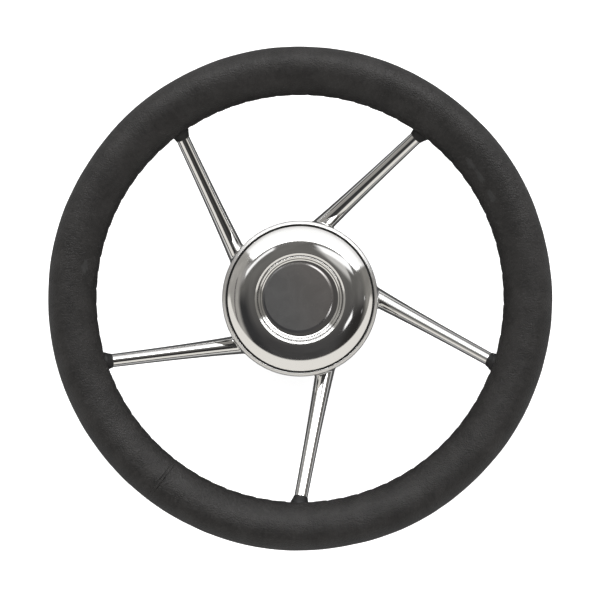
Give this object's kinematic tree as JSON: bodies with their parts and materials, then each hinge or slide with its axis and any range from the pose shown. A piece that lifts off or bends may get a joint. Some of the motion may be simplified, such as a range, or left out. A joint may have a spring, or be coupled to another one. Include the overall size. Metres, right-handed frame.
{
  "type": "boat steering wheel",
  "caption": "Leather-rimmed stainless boat steering wheel with swept tapered spokes, a polished hub cup and a domed centre cap that pulls off to reach the shaft nut.",
  "frame": {"origin": "centre of the hub boss's rear face, which seats towards the helm", "axes": "+Z along the wheel's axis towards the helmsman; +X to the right and +Y up as the wheel is seen from the front, with the keyway at +Y"},
  "size_m": [0.3499, 0.35, 0.097],
  "materials": {
    "leather": "black fine-grained leather, soft sheen",
    "thread": "black waxed thread",
    "foam": "moulded foam, hidden under the leather",
    "polished_steel": "stainless steel, mirror polished",
    "plain_steel": "stainless steel, turned or drawn",
    "black_rubber": "black rubber, satin"
  },
  "bodies": {
    "wheel": {"rim_ring": "plain_steel", "rim_grip_1": "foam", "rim_grip_2": "foam", "rim_grip_3": "foam", "rim_grip_4": "foam", "rim_grip_5": "foam", "rim_cover": "leather", "hub_cup": "polished_steel", "hub_boss": "plain_steel", "spoke_1": "polished_steel", "spoke_collar_1": "black_rubber", "seam_lacing_1": "thread", "spoke_2": "polished_steel", "spoke_collar_2": "black_rubber", "seam_lacing_2": "thread", "spoke_3": "polished_steel", "spoke_collar_3": "black_rubber", "seam_lacing_3": "thread", "spoke_4": "polished_steel", "spoke_collar_4": "black_rubber", "seam_lacing_4": "thread", "spoke_5": "polished_steel", "spoke_collar_5": "black_rubber", "seam_lacing_5": "thread"},
    "cap": {"center_cap": "polished_steel", "cap_medallion": "polished_steel", "cap_seal": "black_rubber"}
  },
  "joints": [
    {"name": "cap_pull", "type": "slide", "parent": "wheel", "child": "cap", "axis": [0, 0, 1], "range_m": [0, 0.04]}
  ]
}
